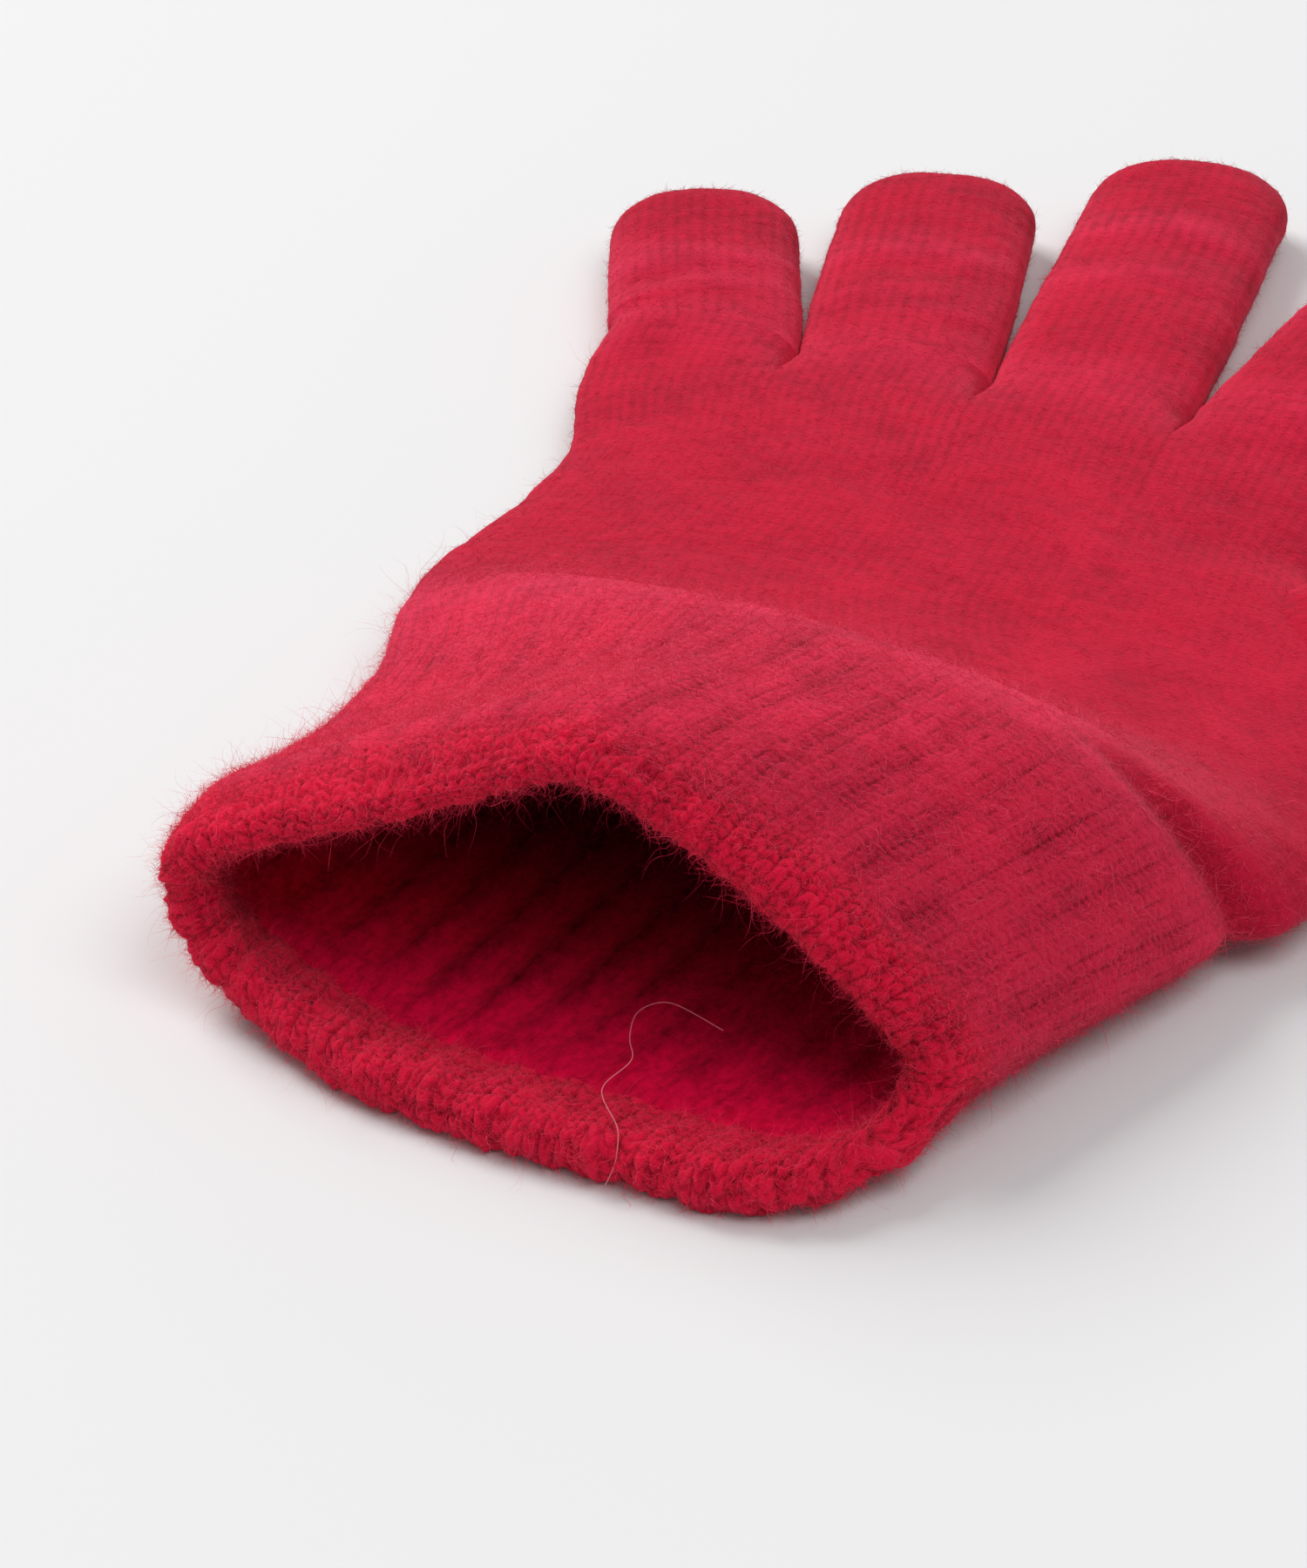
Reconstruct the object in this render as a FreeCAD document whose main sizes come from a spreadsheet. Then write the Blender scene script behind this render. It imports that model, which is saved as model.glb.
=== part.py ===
# A knitted glove lying flat with its cuff mouth propped open.
# Millimetres. +Y runs from the wrist to the fingers, +X towards the thumb, +Z up from the table.
# The glove is knitted as a set of tubes: welt, rib cuff, wrist rounds, two palm tubes, five digit tubes.
import FreeCAD, Part
import math
import os

os.makedirs("parts", exist_ok=True)
doc = FreeCAD.newDocument("knitted_glove")
V = FreeCAD.Vector

# ---------------------------------------------------------------- driving sizes
SIZES = [
    # fabric
    ("wall", 2.3, "thickness of the brushed knit"),
    ("thick", 10.4, "height of the empty palm lying flat"),
    ("digit_thick", 10.0, "height of an empty finger lying flat"),
    ("gap", 0.3, "clearance between pieces that move apart"),
    ("sink", 0.3, "how far the soft underside flattens where it lies on the table"),
    # origin of the whole glove, at the middle of its outline on the table
    ("origin_x", 29.28, "shift that centres the outline across"),
    ("origin_y", 50.49, "shift that centres the outline along"),
    # stations along the hand, before the shift
    ("mouth_low", -72.0, "front of the lower lip"),
    ("mouth_high", -54.5, "front of the upper lip"),
    ("welt", 6.0, "depth of the welt"),
    ("mouth_height", 38.5, "height of the arch at the mouth"),
    ("wrist_left", 2.0, "end of the rib on the little-finger side"),
    ("wrist_right", -23.0, "end of the rib on the thumb side"),
    ("wrist_side", -33.0, "place across where the wrist line starts"),
    ("wrist_across", 95.0, "width over which the wrist line slants"),
    ("wrist_rounds", 13.0, "length of the plain rounds between rib and palm"),
    ("crotch_y", 60.0, "thumb crotch"),
    ("knuckle_y", 98.0, "line where the four fingers leave the palm"),
    # thumb opening on the side of the palm
    ("thumb_x", 70.6, "middle of the thumb opening"),
    ("thumb_y", 50.4, "middle of the thumb opening"),
    ("thumb_turn", 36.0, "thumb turned out from the hand"),
    # digits
    ("root", 13.0, "length of the soft root of a finger"),
    ("closing", 3.6, "length of the drawn-together tip"),
    ("web_radius", 2.0, "linked loops that close a finger crotch"),
    ("little_x", -28.6, "middle of the little finger at the knuckle line"),
    ("ring_x", -3.8, "middle of the ring finger at the knuckle line"),
    ("middle_x", 21.9, "middle of the middle finger at the knuckle line"),
    ("index_x", 47.8, "middle of the index finger at the knuckle line"),
    ("little_turn", -19.5, "little finger turned out"),
    ("ring_turn", -10.5, "ring finger turned out"),
    ("middle_turn", -3.5, "middle finger turned out"),
    ("index_turn", 9.0, "index finger turned out"),
    ("little_length", 45.0, "knuckle line to fingertip"),
    ("ring_length", 60.0, "knuckle line to fingertip"),
    ("middle_length", 75.0, "knuckle line to fingertip"),
    ("index_length", 68.0, "knuckle line to fingertip"),
    ("thumb_length", 56.0, "thumb opening to thumb tip"),
    ("little_width", 24.6, "width lying flat"),
    ("ring_width", 25.4, "width lying flat"),
    ("middle_width", 26.0, "width lying flat"),
    ("index_width", 26.0, "width lying flat"),
    ("thumb_width", 29.4, "width lying flat"),
]
sheet = doc.addObject("Spreadsheet::Sheet", "Sizes")
for row, (alias, value, note) in enumerate(SIZES, start=1):
    sheet.set("A%d" % row, alias)
    sheet.set("B%d" % row, str(value))
    sheet.set("C%d" % row, note)
    sheet.setAlias("B%d" % row, alias)
doc.recompute()
S = {alias: float(sheet.get(alias)) for alias, value, note in SIZES}

WALL = S["wall"]
OX = S["origin_x"]
OY = S["origin_y"]
REACH = 400.0
NODES = []


# ---------------------------------------------------------------- helpers
def bind(thing, **expressions):
    for name, text in expressions.items():
        thing.setExpression(name.replace("__", "."), text)
    return thing


def feature(kind, label, **values):
    thing = doc.addObject(kind, label)
    for name, value in values.items():
        setattr(thing, name, value)
    return thing


def cut(label, base, tool):
    return feature("Part::Cut", label, Base=base, Tool=tool)


def common(label, base, tool):
    return feature("Part::Common", label, Base=base, Tool=tool)


def node(thing, label):
    thing.Label = label
    NODES.append(thing)
    return thing


# ---------------------------------------------------------------- the hand and cuff tube
# One free-form tube runs from the mouth to the knuckle line. At each station: distance along the hand,
# left and right side folds, heights of the two folds, place and height of the crest, how peaked the
# arch is on the left and on the right, and how much of the left half of the underside lies flat.
FLAT = S["thick"]
FOLD = FLAT / 2
PEAK = S["mouth_height"]
STATIONS = [
    (-82.0, -33.0, 47.0, 13.0, 9.0, 9.0, PEAK + 1.0, 1.5, 2.4, 0.10),
    (-55.0, -33.0, 50.5, 12.0, 9.0, 10.0, PEAK - 1.0, 1.5, 2.4, 0.10),
    (-35.0, -32.0, 56.5, 9.0, 8.0, 13.0, PEAK - 5.5, 1.6, 2.4, 0.20),
    (-15.0, -32.5, 65.0, 7.0, 6.5, 16.0, PEAK - 10.0, 1.8, 2.4, 0.35),
    (3.0, -34.5, 73.5, 5.8, 5.6, 18.0, PEAK - 15.5, 2.1, 2.4, 0.45),
    (18.0, -36.5, 79.0, FOLD, FOLD, 18.0, 14.5, 2.4, 2.6, 0.5),
    (36.0, -36.6, 83.0, FOLD, FOLD, 18.0, FLAT + 0.6, 2.8, 3.0, 0.5),
    (48.0, -35.0, 84.0, FOLD, FOLD, 18.0, FLAT, 3.0, 3.4, 0.5),
]
UPPER = [
    (S["crotch_y"], -34.0, 57.6, FOLD, FOLD, 12.0, FLAT, 3.2, 3.4, 0.5),
    (80.0, -37.4, 58.6, FOLD, FOLD, 11.0, FLAT, 3.4, 3.4, 0.5),
    (S["knuckle_y"], -41.3, 60.9, FOLD, FOLD, 10.0, FLAT, 3.6, 3.6, 0.5),
]
CURL = 4
ARCH = 12


def fold_line(station, inset):
    """Closed cross-section of the tube at one station, drawn a wall thickness further in if asked.

    The underside lies flat on the table; from its two ends the fabric curls up to the side folds and
    then over the crest.
    """
    y, left, right, low_left, low_right, crest_x, crest, soft_left, soft_right, lift = station
    left = left + inset
    right = right - inset
    middle = (left + right) / 2
    half = (right - left) / 2
    flat_left = middle - lift * half
    flat_right = middle + 0.45 * half

    def side(x):
        share = (x - left) / (right - left)
        return low_left + (low_right - low_left) * share - S["sink"]

    def underside(x, start, end):
        rise = ((x - start) / (end - start)) ** 2
        return inset + (side(x) - inset) * (1 - (1 - rise) ** 0.75)

    def topside(x):
        edge = left if x < crest_x else right
        power = soft_left if x < crest_x else soft_right
        arch = max(1 - abs((x - crest_x) / (edge - crest_x)) ** power, 0.0)
        return side(x) + (crest - S["sink"] - inset - side(x)) * arch**0.75

    loop = []
    for k in range(CURL):
        x = flat_right + (right - flat_right) * math.sin(math.pi / 2 * k / CURL)
        loop.append(V(x - OX, y - OY, underside(x, flat_right, right)))
    for k in range(ARCH + 1):
        x = middle + half * math.cos(math.pi * k / ARCH)
        loop.append(V(x - OX, y - OY, topside(x)))
    for k in range(CURL - 1, -1, -1):
        x = flat_left + (left - flat_left) * math.sin(math.pi / 2 * k / CURL)
        loop.append(V(x - OX, y - OY, underside(x, flat_left, left)))
    curve = Part.BSplineCurve()
    curve.interpolate(loop)
    flat = Part.LineSegment(loop[-1], loop[0])
    return Part.Wire([curve.toShape(), flat.toShape()])


def tube_solid(label, stations, inset):
    """Solid bounded by the fabric's outer or inner face over a run of stations."""
    thing = doc.addObject("Part::Feature", label)
    thing.Shape = Part.makeLoft([fold_line(s, inset) for s in stations], True, False)
    return thing


# a little of the inner face runs past both ends, so that the tubes stay open
def stretched(stations):
    first = (stations[0][0] - 1.0,) + stations[0][1:]
    last = (stations[-1][0] + 1.0,) + stations[-1][1:]
    return [first] + stations[1:-1] + [last]


lower_outer = tube_solid("hand_outside", STATIONS + UPPER[:1], 0.0)
lower_inner = tube_solid("hand_inside", stretched(STATIONS + UPPER[:1]), WALL)
upper_outer = tube_solid("palm_outside", UPPER, 0.0)
upper_inner = tube_solid("palm_inside", stretched(UPPER), WALL)
table = feature("Part::Box", "table", Length=800, Width=800, Height=20)
table.Placement = FreeCAD.Placement(V(-REACH, -REACH, -20), FreeCAD.Rotation())
hand_shell = cut("hand_shell", lower_outer, lower_inner)
palm_shell = cut("palm_shell", upper_outer, upper_inner)


def behind_lip(label, offset):
    """Everything on the hand side of the mouth's edge, moved along the cuff by an offset."""
    low = S["mouth_low"] + offset - OY
    high = S["mouth_high"] + offset - OY
    profile = [
        V(-REACH, low, -5),
        V(-REACH, low, 0.6),
        V(-REACH, low + 2.4, 3),
        V(-REACH, high - 1.6, 11),
        V(-REACH, high, 16),
        V(-REACH, high + 1.5, 60),
        V(-REACH, REACH, 60),
        V(-REACH, REACH, -5),
    ]
    line = doc.addObject("Part::Feature", label + "_line")
    line.Shape = Part.makePolygon(profile + profile[:1])
    across = V(1, 0, 0)
    return feature("Part::Extrusion", label, Base=line, Dir=across, DirMode="Custom",
                   LengthFwd=2 * REACH, Solid=True)


mouth = behind_lip("behind_mouth", 0.0)
welt_end = behind_lip("behind_welt", S["welt"])

# the rib ends on a line that slants across the wrist
SLANT = math.degrees(math.atan2(S["wrist_right"] - S["wrist_left"], S["wrist_across"]))


def wrist_half(label, along):
    """Block on the finger side of the slanting wrist line."""
    box = feature("Part::Box", label)
    bind(box, Length="800", Width="400", Height="120")
    turn = FreeCAD.Rotation(V(0, 0, 1), SLANT)
    anchor = V(S["wrist_side"] - OX, S["wrist_left"] - OY + along, -20)
    box.Placement = FreeCAD.Placement(anchor + turn.multVec(V(-REACH, 0, 0)), turn)
    return box


rib_end = wrist_half("rib_end", 0.0)
band_start = wrist_half("band_start", S["gap"])
band_end = wrist_half("band_end", S["wrist_rounds"])

node(cut("cuff_welt", common("welt_from_mouth", hand_shell, mouth), welt_end), "cuff_welt")
node(cut("cuff_rib", common("rib_from_welt", hand_shell, welt_end), rib_end), "cuff_rib")
node(cut("wrist_band", common("band_from_rib", hand_shell, band_start), band_end), "wrist_band")

# the thumb leaves through a slanting opening on the side of the lower palm
THUMB_SIDE = S["thumb_width"] / 2 + 0.9
thumb_plane = feature("Part::Box", "thumb_plane")
bind(thumb_plane, Length="200", Width="200", Height="60")
thumb_rotation = FreeCAD.Rotation(V(0, 0, 1), -S["thumb_turn"])
thumb_anchor = V(S["thumb_x"] - OX, S["thumb_y"] - OY, -20)
thumb_plane.Placement = FreeCAD.Placement(
    thumb_anchor + thumb_rotation.multVec(V(-THUMB_SIDE, 0, 0)), thumb_rotation
)
palm_piece = cut("palm_below_thumb", common("palm_from_band", hand_shell, band_end), thumb_plane)
palm_limit = feature("Part::Box", "palm_limit")
bind(palm_limit, Length="400", Width="200", Height="60")
bind(palm_limit, Placement__Base__x="-200", Placement__Base__y="Sizes.crotch_y - Sizes.origin_y")
bind(palm_limit, Placement__Base__z="-20")

# ---------------------------------------------------------------- crotch joins
WEBS = {
    "web_little_ring": (("Sizes.little_x", "Sizes.ring_x"), "Sizes.knuckle_y"),
    "web_ring_middle": (("Sizes.ring_x", "Sizes.middle_x"), "Sizes.knuckle_y"),
    "web_middle_index": (("Sizes.middle_x", "Sizes.index_x"), "Sizes.knuckle_y"),
}


def crotch_join(name, palm, place_x, place_y):
    """Short post of linked loops at a crotch, let into a pocket at the edge of the palm piece."""
    pocket = feature("Part::Cylinder", name + "_pocket")
    join = feature("Part::Cylinder", name)
    bind(pocket, Radius="Sizes.web_radius + 0.05", Height="30", Placement__Base__z="-5")
    bind(join, Radius="Sizes.web_radius", Height="Sizes.thick - 1.4", Placement__Base__z="0.6")
    for cylinder in (pocket, join):
        bind(cylinder, Placement__Base__x=place_x, Placement__Base__y=place_y)
    node(join, name)
    return cut("palm_less_" + name, palm, pocket)


upper_palm = palm_shell
for name, (sides, line) in WEBS.items():
    place_x = "(%s + %s) / 2 - Sizes.origin_x" % sides
    place_y = "%s - Sizes.origin_y - Sizes.web_radius - 0.1" % line
    upper_palm = crotch_join(name, upper_palm, place_x, place_y)
node(upper_palm, "palm_upper")
lower_palm = cut("palm_below_knuckles", palm_piece, palm_limit)
place_x = "Sizes.thumb_x - Sizes.thumb_width / 2 + 0.3 - Sizes.origin_x"
place_y = "Sizes.crotch_y - Sizes.web_radius - 1 - Sizes.origin_y"
node(crotch_join("web_thumb", lower_palm, place_x, place_y), "palm_lower")

# ---------------------------------------------------------------- digits
# Each digit is drawn straight along its own +Y and then turned and moved to its root.
# rounding of a fingertip: distance back from the end, share of the width, share of the height
TIP = [
    (12.0, 1.0, 1.0),
    (9.0, 0.965, 0.98),
    (6.5, 0.90, 0.94),
    (4.4, 0.80, 0.86),
    (2.6, 0.66, 0.74),
    (1.2, 0.48, 0.57),
    (0.4, 0.30, 0.38),
    (0.0, 0.14, 0.20),
]


def oval(label, along, width, height):
    """Upright oval section across a digit, at a distance along it."""
    ring = feature("Part::Ellipse", label)
    bind(ring, MajorRadius="(%s) / 2" % width, MinorRadius="(%s) / 2" % height)
    ring.Placement = FreeCAD.Placement(V(0, 0, 0), FreeCAD.Rotation(V(1, 0, 0), 90))
    bind(ring, Placement__Base__y=along, Placement__Base__z="Sizes.digit_thick / 2")
    return ring


def loft(label, sections):
    return feature("Part::Loft", label, Sections=sections, Solid=True, Ruled=True)


def set_out(thing, digit, place_x, place_y):
    """Turn a straight digit piece to its direction and move it to its root."""
    thing.Placement = FreeCAD.Placement(V(0, 0, 0), FreeCAD.Rotation(V(0, 0, 1), 1))
    bind(thing, Placement__Rotation__Angle="-1deg * Sizes.%s_turn" % digit)
    bind(thing, Placement__Base__x=place_x + " - Sizes.origin_x")
    bind(thing, Placement__Base__y=place_y + " - Sizes.origin_y")
    bind(thing, Placement__Base__z="-Sizes.sink")


def skin(label, digit, inset):
    """Outside (or, drawn in by the wall, inside) of a digit beyond its root."""
    width = "Sizes.%s_width - 2 * %s" % (digit, inset)
    height = "Sizes.digit_thick - 2 * %s" % inset
    length = "Sizes.%s_length - %s" % (digit, inset)
    start = "Sizes.root + Sizes.gap" if inset == "0" else "Sizes.root - 2"
    rows = [oval(label + "_start", start, "0.965 * (%s)" % width, height)]
    rows.append(oval(label + "_swell", "Sizes.root + 9", "0.99 * (%s)" % width, height))
    for count, (back, wide, tall) in enumerate(TIP):
        ring = oval("%s_tip%d" % (label, count), "%s - %s" % (length, back),
                    "%s * (%s)" % (wide, width), "%s * (%s)" % (tall, height))
        rows.append(ring)
    return loft(label, rows)


def mouth_oval(label, digit, slant, inset):
    """Section of a digit's root where it leaves the palm, in the plane of the palm's edge."""
    ring = feature("Part::Ellipse", label)
    bind(ring, MajorRadius="(0.99 * Sizes.%s_width - 2 * %s) / 2" % (digit, inset))
    bind(ring, MinorRadius="(Sizes.digit_thick - 2 * %s) / 2" % inset)
    turned = FreeCAD.Rotation(V(0, 0, 1), slant).multiply(FreeCAD.Rotation(V(1, 0, 0), 90))
    ring.Placement = FreeCAD.Placement(V(0, 0, 0), turned)
    bind(ring, Placement__Base__z="Sizes.digit_thick / 2")
    return ring


def root_skin(label, digit, slant, inset):
    width = "0.965 * (Sizes.%s_width - 2 * %s)" % (digit, inset)
    height = "Sizes.digit_thick - 2 * %s" % inset
    rows = [mouth_oval(label + "_mouth", digit, slant, inset)]
    rows.append(oval(label + "_half", "Sizes.root * 0.6", width, height))
    rows.append(oval(label + "_end", "Sizes.root", width, height))
    return loft(label, rows)


DIGITS = ["little", "ring", "middle", "index", "thumb"]
for digit in DIGITS:
    if digit == "thumb":
        place_x = "Sizes.thumb_x"
        place_y = "Sizes.thumb_y"
        slant = 0.0
    else:
        place_x = "Sizes.%s_x" % digit
        place_y = "Sizes.knuckle_y"
        slant = S[digit + "_turn"]
    outside = root_skin(digit + "_root_outside", digit, slant, "0")
    inside = root_skin(digit + "_root_inside", digit, slant, "Sizes.wall")
    root = cut(digit + "_root_round", outside, inside)
    set_out(root, digit, place_x, place_y)
    node(cut(digit + "_root_flat", root, table), digit + "_root")

    outside = skin(digit + "_outside", digit, "0")
    inside = skin(digit + "_inside", digit, "Sizes.wall")
    shell = cut(digit + "_shell", outside, inside)
    tip_block = feature("Part::Box", digit + "_tip_block", Length=80, Width=80, Height=40)
    bind(tip_block, Placement__Base__x="-40", Placement__Base__z="-10")
    bind(tip_block, Placement__Base__y="Sizes.%s_length - Sizes.closing" % digit)
    tube = cut(digit + "_tube_round", shell, tip_block)
    closing = common(digit + "_tip_drawn", shell, tip_block)
    for piece in (tube, closing):
        set_out(piece, digit, place_x, place_y)
    node(cut(digit + "_tube_flat", tube, table), digit + "_tube")
    node(closing, digit + "_tip")

# ---------------------------------------------------------------- check and export
doc.recompute()
low = [1e9, 1e9, 1e9]
high = [-1e9, -1e9, -1e9]
for thing in doc.Objects:
    if "Invalid" in thing.State or "Error" in thing.State:
        raise RuntimeError("%s does not compute" % thing.Label)
for thing in NODES:
    shape = thing.Shape
    if shape.isNull() or not shape.isValid() or not shape.Solids:
        raise RuntimeError("%s is not a valid solid" % thing.Label)
    if len(shape.Solids) != 1:
        print(thing.Label, "has", len(shape.Solids), "solids")
    box = shape.optimalBoundingBox(False)
    low = [min(low[0], box.XMin), min(low[1], box.YMin), min(low[2], box.ZMin)]
    high = [max(high[0], box.XMax), max(high[1], box.YMax), max(high[2], box.ZMax)]
    shape.exportStep("parts/%s.step" % thing.Label)
print("size", [round(b - a, 2) for a, b in zip(low, high)])
print("middle", [round((a + b) / 2, 3) for a, b in zip(low, high)], "base", round(low[2], 3))
print(len(NODES), "pieces")
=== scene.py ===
"""A red knitted glove of brushed wool on a white table, its ribbed cuff propped open.

Lengths are drawn in millimetres from the middle of the wrist and turned into the frame at the end.
"""
import math

import bpy
import numpy as np
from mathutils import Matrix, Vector


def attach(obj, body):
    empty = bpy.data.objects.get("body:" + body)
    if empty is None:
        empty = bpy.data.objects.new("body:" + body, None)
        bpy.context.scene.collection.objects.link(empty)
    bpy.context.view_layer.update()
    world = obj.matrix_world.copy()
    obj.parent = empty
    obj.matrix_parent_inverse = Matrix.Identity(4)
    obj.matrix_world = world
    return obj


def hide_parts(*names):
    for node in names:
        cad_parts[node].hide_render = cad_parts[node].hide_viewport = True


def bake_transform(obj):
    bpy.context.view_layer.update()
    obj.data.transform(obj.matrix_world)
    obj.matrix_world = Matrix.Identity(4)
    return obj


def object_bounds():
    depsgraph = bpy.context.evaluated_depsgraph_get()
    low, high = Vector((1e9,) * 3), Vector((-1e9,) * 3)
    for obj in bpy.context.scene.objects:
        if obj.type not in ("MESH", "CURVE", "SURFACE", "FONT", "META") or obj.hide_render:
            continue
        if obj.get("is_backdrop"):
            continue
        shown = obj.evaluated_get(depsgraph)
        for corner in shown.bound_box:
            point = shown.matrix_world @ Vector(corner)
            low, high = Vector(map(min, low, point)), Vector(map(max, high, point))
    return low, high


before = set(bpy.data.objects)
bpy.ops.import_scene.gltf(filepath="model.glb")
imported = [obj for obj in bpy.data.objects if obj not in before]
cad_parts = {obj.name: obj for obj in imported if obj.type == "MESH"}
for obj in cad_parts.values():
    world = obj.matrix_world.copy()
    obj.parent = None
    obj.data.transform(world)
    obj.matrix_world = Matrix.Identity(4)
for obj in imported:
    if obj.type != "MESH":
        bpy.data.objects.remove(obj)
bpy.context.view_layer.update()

rng = np.random.default_rng(7)

MM = 0.001
ORIGIN = np.array([29.28, 50.49, 0.0])
WALES = 64
COURSE = 1.22
FINE = 5
SIDE = WALES * FINE


def place(points):
    return (points - ORIGIN) * MM


def smooth(t):
    t = np.clip(t, 0.0, 1.0)
    return t * t * (3 - 2 * t)


def glide(knots, values, at):
    """Smooth curve through the values, without overshoot, for every column."""
    knots = np.asarray(knots, float)
    values = np.asarray(values, float)
    step = np.diff(knots)
    rise = np.diff(values, axis=0) / step[:, None]
    slope = np.zeros_like(values)
    slope[0], slope[-1] = rise[0], rise[-1]
    same = rise[:-1] * rise[1:] > 0
    mean = np.where(same, 2 * rise[:-1] * rise[1:] / np.where(same, rise[:-1] + rise[1:], 1), 0)
    slope[1:-1] = mean
    at = np.clip(np.asarray(at, float), knots[0], knots[-1])
    k = np.clip(np.searchsorted(knots, at, side="right") - 1, 0, len(knots) - 2)
    h = step[k][:, None]
    t = ((at - knots[k]) / step[k])[:, None]
    a = values[k] * (1 + 2 * t) * (1 - t) ** 2 + slope[k] * h * t * (1 - t) ** 2
    return a + values[k + 1] * t * t * (3 - 2 * t) + slope[k + 1] * h * t * t * (t - 1)


# ------------------------------------------------------------------ shape of the hand and cuff
# Distance along the hand, left and right folds, height of both folds, place and height of the crest,
# spread and peak of the arch on the left, the same on the right, flat share of the underside on the
# left, slant of the rows, plumpness of the left and right folds.
HAND = np.array([
    (-56.0, -32.4, 51.0, 13.8, 9.0, 12.0, 36.0, 1.30, 1.60, 1.35, 1.00, 0.10, 0.00, 6.2, 3.4),
    (-48.0, -33.8, 54.0, 12.4, 8.2, 12.0, 36.4, 1.50, 1.15, 1.70, 0.95, 0.12, 0.05, 5.0, 2.8),
    (-38.0, -32.9, 57.2, 10.4, 7.6, 14.0, 34.6, 1.45, 1.25, 2.10, 0.90, 0.18, 0.13, 3.6, 2.2),
    (-24.0, -31.6, 61.6, 8.2, 7.0, 17.0, 31.6, 1.45, 1.40, 2.80, 0.85, 0.26, 0.22, 3.0, 1.8),
    (-10.5, -32.9, 65.6, 6.4, 6.0, 20.0, 28.6, 1.70, 1.25, 3.40, 0.80, 0.36, 0.263, 2.4, 1.5),
    (-4.0, -34.6, 68.6, 6.0, 5.8, 21.0, 26.2, 1.90, 1.08, 3.40, 0.80, 0.40, 0.263, 2.0, 1.2),
    (3.0, -36.6, 73.4, 5.6, 5.4, 21.0, 21.8, 2.20, 0.90, 3.20, 0.80, 0.45, 0.263, 1.5, 1.0),
    (18.0, -37.9, 77.6, 5.0, 5.0, 19.0, 12.8, 2.60, 0.72, 2.90, 0.72, 0.50, 0.20, 0.6, 0.5),
    (36.0, -36.6, 79.0, 4.9, 4.9, 17.0, 10.6, 2.90, 0.72, 3.00, 0.72, 0.50, 0.08, 0.0, 0.0),
    (50.0, -34.6, 70.0, 4.9, 4.9, 13.0, 10.2, 3.00, 0.72, 3.20, 0.72, 0.50, 0.02, 0.0, 0.0),
    (62.0, -34.2, 59.0, 4.9, 4.9, 12.0, 10.0, 3.20, 0.72, 3.40, 0.72, 0.50, 0.00, 0.0, 0.0),
    (80.0, -37.2, 58.8, 4.9, 4.9, 11.0, 9.9, 3.40, 0.72, 3.40, 0.72, 0.50, 0.00, 0.0, 0.0),
    (98.0, -41.2, 60.9, 4.9, 4.9, 10.0, 9.8, 3.60, 0.72, 3.60, 0.72, 0.50, 0.00, 0.0, 0.0),
])
RIM = -56.0
RIB_END = -10.5
BAND_END = 2.94
KNUCKLE = 98.0
SKEW_X = 14.5
SLANT = 0.263
LOWER_LIP = np.array([
    (-32.4, -54.0), (-27.5, -55.8), (-21.0, -58.8), (-14.0, -62.6), (-7.0, -66.2), (8.5, -69.4),
    (22.0, -70.8), (34.0, -71.8), (41.5, -70.4), (48.2, -64.2), (51.0, -56.5),
])
UPPER_LIP = np.array([
    (-32.4, -54.0), (-24.0, -54.4), (-8.0, -54.8), (10.0, -54.8), (28.0, -54.8), (42.0, -55.6), (51.0, -56.5),
])
WEBS = [-41.2, -16.3, 9.0, 34.9, 60.9]


def arc_even(x, z, count):
    """Points of a curve at even distances along it."""
    length = np.concatenate([[0.0], np.cumsum(np.hypot(np.diff(x), np.diff(z)))])
    share = np.linspace(0.0, length[-1], count + 1)
    return np.interp(share, length, x), np.interp(share, length, z)


def section(row, count, upper):
    """Upper or lower half of the tube's section, from the left fold to the right fold."""
    left, right, low_left, low_right, crest_x, crest, wide_l, peak_l, wide_r, peak_r, lift = row[1:12]
    plump_l, plump_r = row[13:]
    middle, half = (left + right) / 2, (right - left) / 2
    x = middle - half * np.cos(np.linspace(0, np.pi, 241))
    side = low_left + (low_right - low_left) * (x - left) / (right - left)
    plump = np.where(x < middle, plump_l, plump_r)
    reach = np.maximum(1.6 * plump, 0.1)
    inwards = np.clip(np.minimum(x - left, right - x) / reach, 0, 1)
    round_fold = plump * np.sqrt(1 - (1 - inwards) ** 2)
    if upper:
        edge = np.where(x < crest_x, left, right)
        spread = np.where(x < crest_x, wide_l, wide_r)
        peak = np.where(x < crest_x, peak_l, peak_r)
        arch = np.maximum(1 - np.abs((x - crest_x) / (edge - crest_x)) ** spread, 0.0) ** peak
        z = side + (crest - side) * arch + round_fold * (1 - arch)
    else:
        start = np.where(x < middle, middle - lift * half, middle + 0.5 * half)
        edge = np.where(x < middle, left, right)
        rise = np.clip((x - start) / (edge - start), 0, 1) ** 2
        z = np.maximum(side * (1 - (1 - rise) ** 0.72) - round_fold * rise, 0.0)
    return arc_even(x, z, count)


def lobes(count, upper):
    """Section at the knuckle line, where the four finger tubes part."""
    xs, zs = [], []
    share = count // 4
    for left, right in zip(WEBS[:-1], WEBS[1:]):
        t = np.cos(np.linspace(np.pi, 0, 121))
        bulge = (1 - np.abs(t) ** 2.7) ** (1 / 2.1)
        x = (left + right) / 2 + t * (right - left) / 2
        z = 4.9 + 5.0 * bulge if upper else 4.9 - 4.9 * np.minimum(1.12 * bulge, 1.0)
        x, z = arc_even(x, z, share)
        xs.append(x if not xs else x[1:])
        zs.append(z if not zs else z[1:])
    return np.concatenate(xs), np.concatenate(zs)


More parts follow.
